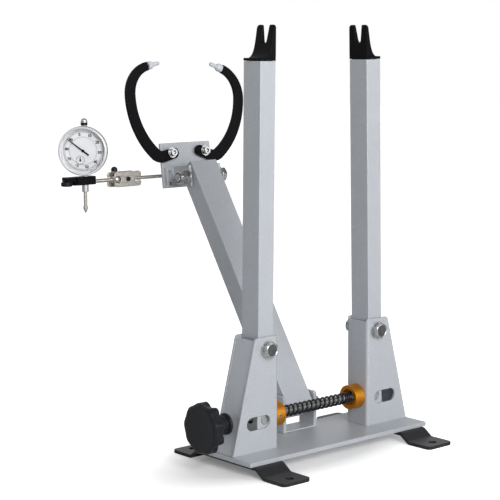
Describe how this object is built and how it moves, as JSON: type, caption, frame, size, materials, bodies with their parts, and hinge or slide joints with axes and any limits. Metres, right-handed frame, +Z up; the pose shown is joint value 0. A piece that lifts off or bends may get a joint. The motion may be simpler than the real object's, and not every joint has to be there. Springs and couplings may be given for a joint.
{
  "type": "bicycle wheel truing stand",
  "caption": "Bench stand for truing a bicycle wheel: two screw-adjusted uprights with open dropouts, and a tilting gauge arm with caliper arms and a dial indicator.",
  "frame": {"origin": "middle of the whole stand's box at the bench top", "axes": "+X along the base towards the end without the knob, +Y to the rear, where the gauge arm leans, +Z up"},
  "size_m": [0.3188, 0.3548, 0.4834],
  "materials": {
    "silver_coat": "fine textured powder coat",
    "black_coat": "satin powder coat",
    "black_plastic": "satin moulded",
    "zinc_steel": "zinc plated",
    "spring_steel": "blackened",
    "gold_aluminium": "anodised gold",
    "brass": "turned",
    "nylon": "natural white",
    "nickel_steel": "nickel plated",
    "satin_chrome": "satin",
    "dial_white": "matt print",
    "dial_glass": "clear",
    "hand_black": "matt"
  },
  "bodies": {
    "base": {"base_plate": "silver_coat", "left_foot_strap": "black_coat", "right_foot_strap": "black_coat", "left_bracket": "silver_coat", "right_bracket": "silver_coat", "left_bracket_cover": "silver_coat", "right_bracket_cover": "silver_coat", "left_pivot_bolt": "zinc_steel", "right_pivot_bolt": "zinc_steel", "left_pivot_nut": "zinc_steel", "right_pivot_nut": "zinc_steel", "arm_bracket": "silver_coat", "arm_pivot_bolt": "zinc_steel", "arm_pivot_nut": "zinc_steel"},
    "left_upright": {"left_upright_tube": "silver_coat", "left_dropout_tip": "black_coat", "left_pivot_sleeve": "zinc_steel"},
    "right_upright": {"right_upright_tube": "silver_coat", "right_dropout_tip": "black_coat", "right_pivot_sleeve": "zinc_steel"},
    "left_nut": {"left_barrel_nut": "zinc_steel"},
    "right_nut": {"right_barrel_nut": "zinc_steel"},
    "screw": {"screw_rod": "zinc_steel", "screw_knob": "black_plastic", "knob_washer": "brass", "left_collar": "gold_aluminium", "right_collar": "gold_aluminium", "left_collar_screw": "zinc_steel", "right_collar_screw": "zinc_steel", "screw_spring": "spring_steel"},
    "gauge_arm": {"gauge_arm": "silver_coat"},
    "head": {"head_plate": "silver_coat", "left_head_angle": "silver_coat", "right_head_angle": "silver_coat", "head_pivot_bolt": "zinc_steel", "head_pivot_nut": "zinc_steel", "left_caliper_bolt": "zinc_steel", "right_caliper_bolt": "zinc_steel", "rod_block": "silver_coat"},
    "left_caliper": {"left_caliper_arm": "black_coat"},
    "right_caliper": {"right_caliper_arm": "black_coat"},
    "left_feeler": {"left_feeler_tip": "nylon"},
    "right_feeler": {"right_feeler_tip": "nylon"},
    "block_screw": {"block_thumb_screw": "black_plastic"},
    "dial_rod": {"dial_rod": "nickel_steel"},
    "swivel": {"swivel_front_plate": "nickel_steel", "swivel_rear_plate": "nickel_steel"},
    "lever": {"clamp_lever": "black_plastic"},
    "holder": {"holder_rod": "nickel_steel"},
    "stem_clamp": {"stem_clamp": "black_coat"},
    "stem_screw": {"stem_thumb_screw": "black_plastic"},
    "dial": {"dial_case": "satin_chrome", "dial_face": "dial_white"},
    "bezel": {"dial_bezel": "satin_chrome", "scale_ring": "dial_white", "dial_glass": "dial_glass"},
    "spindle": {"dial_spindle": "nickel_steel", "spindle_cap": "nickel_steel"},
    "main_hand": {"main_hand": "hand_black"},
    "small_hand": {"small_hand": "hand_black"}
  },
  "joints": [
    {"name": "screw_turn", "type": "hinge", "parent": "base", "child": "screw", "pos_m": [0.0219, -0.0819, 0.05151], "axis": [1, 0, 0], "range_deg": [-288, 1260]},
    {"name": "left_upright_tilt", "type": "hinge", "parent": "base", "child": "left_upright", "pos_m": [-0.0634, -0.0819, 0.1305], "axis": [0, 1, 0], "range_deg": [-0.73, 3.17]},
    {"name": "right_upright_tilt", "type": "hinge", "parent": "base", "child": "right_upright", "pos_m": [0.1072, -0.0819, 0.1305], "axis": [0, -1, 0], "range_deg": [-0.73, 3.17]},
    {"name": "left_nut_turn", "type": "hinge", "parent": "left_upright", "child": "left_nut", "pos_m": [-0.06467, -0.0819, 0.05151], "axis": [0, 1, 0], "range_deg": [-3.17, 0.73]},
    {"name": "right_nut_turn", "type": "hinge", "parent": "right_upright", "child": "right_nut", "pos_m": [0.10847, -0.0819, 0.05151], "axis": [0, -1, 0], "range_deg": [-3.17, 0.73]},
    {"name": "arm_tilt", "type": "hinge", "parent": "base", "child": "gauge_arm", "pos_m": [0.0219, -0.0484, 0.0436], "axis": [1, 0, 0], "range_deg": [-20, 18]},
    {"name": "head_tilt", "type": "hinge", "parent": "gauge_arm", "child": "head", "pos_m": [0.0219, 0.11655, 0.30252], "axis": [1, 0, 0], "range_deg": [-35, 35]},
    {"name": "left_caliper_swing", "type": "hinge", "parent": "head", "child": "left_caliper", "pos_m": [-0.0041, 0.14333, 0.33075], "axis": [0, 0.9907, -0.1357], "range_deg": [-17, 16]},
    {"name": "right_caliper_swing", "type": "hinge", "parent": "head", "child": "right_caliper", "pos_m": [0.0479, 0.14333, 0.33075], "axis": [0, -0.9907, 0.1357], "range_deg": [-17, 16]},
    {"name": "left_feeler_adjust", "type": "slide", "parent": "left_caliper", "child": "left_feeler", "axis": [0.9816, 0.0259, 0.189], "range_m": [0, 0.004]},
    {"name": "right_feeler_adjust", "type": "slide", "parent": "right_caliper", "child": "right_feeler", "axis": [-0.9391, 0.0466, 0.3405], "range_m": [0, 0.004]},
    {"name": "block_screw_turn", "type": "hinge", "parent": "head", "child": "block_screw", "pos_m": [0.0079, 0.15839, 0.30143], "axis": [0, 0.9907, -0.1357], "range_deg": [-45, 360]},
    {"name": "dial_rod_slide", "type": "slide", "parent": "head", "child": "dial_rod", "axis": [-1, 0, 0], "range_m": [-0.012, 0.008]},
    {"name": "swivel_turn", "type": "hinge", "parent": "dial_rod", "child": "swivel", "pos_m": [0.0219, 0.15294, 0.30218], "axis": [1, 0, 0], "range_deg": [-60, 60]},
    {"name": "lever_turn", "type": "hinge", "parent": "swivel", "child": "lever", "pos_m": [-0.0666, 0.15294, 0.30218], "axis": [0, 1, 0], "range_deg": [-30, 60]},
    {"name": "holder_swing", "type": "hinge", "parent": "swivel", "child": "holder", "pos_m": [-0.0817, 0.15294, 0.30218], "axis": [0, 1, 0], "range_deg": [-15, 15]},
    {"name": "stem_clamp_turn", "type": "hinge", "parent": "holder", "child": "stem_clamp", "pos_m": [0.0219, 0.15294, 0.30218], "axis": [1, 0, 0], "range_deg": [-45, 45]},
    {"name": "stem_screw_turn", "type": "hinge", "parent": "stem_clamp", "child": "stem_screw", "pos_m": [-0.1526, 0.15294, 0.30358], "axis": [0, 0, 1], "range_deg": [-45, 360]},
    {"name": "dial_turn", "type": "hinge", "parent": "stem_clamp", "child": "dial", "pos_m": [-0.1266, 0.15294, 0.33938], "axis": [0, 0, 1], "range_deg": [-90, 90]},
    {"name": "bezel_turn", "type": "hinge", "parent": "dial", "child": "bezel", "pos_m": [-0.1266, 0.15294, 0.33938], "axis": [0.7071, 0.7071, 0], "continuous": true},
    {"name": "spindle_slide", "type": "slide", "parent": "dial", "child": "spindle", "axis": [0, 0, 1], "range_m": [0, 0.01], "stiffness_N_per_m": 60, "springref_m": -0.008},
    {"name": "main_hand_turn", "type": "hinge", "parent": "dial", "child": "main_hand", "pos_m": [-0.1266, 0.15294, 0.33938], "axis": [0.7071, 0.7071, 0], "range_deg": [0, 3600]},
    {"name": "small_hand_turn", "type": "hinge", "parent": "dial", "child": "small_hand", "pos_m": [-0.12907, 0.15541, 0.32848], "axis": [0.7071, 0.7071, 0], "range_deg": [0, 360]}
  ],
  "couplings": [
    {"joint": "left_upright_tilt", "follows": "screw_turn", "ratio": 0.0025183},
    {"joint": "right_upright_tilt", "follows": "screw_turn", "ratio": 0.0025183},
    {"joint": "left_nut_turn", "follows": "screw_turn", "ratio": -0.0025183},
    {"joint": "right_nut_turn", "follows": "screw_turn", "ratio": -0.0025183},
    {"joint": "main_hand_turn", "follows": "spindle_slide", "rad_per_m": 6283.2},
    {"joint": "small_hand_turn", "follows": "spindle_slide", "rad_per_m": 628.32}
  ]
}
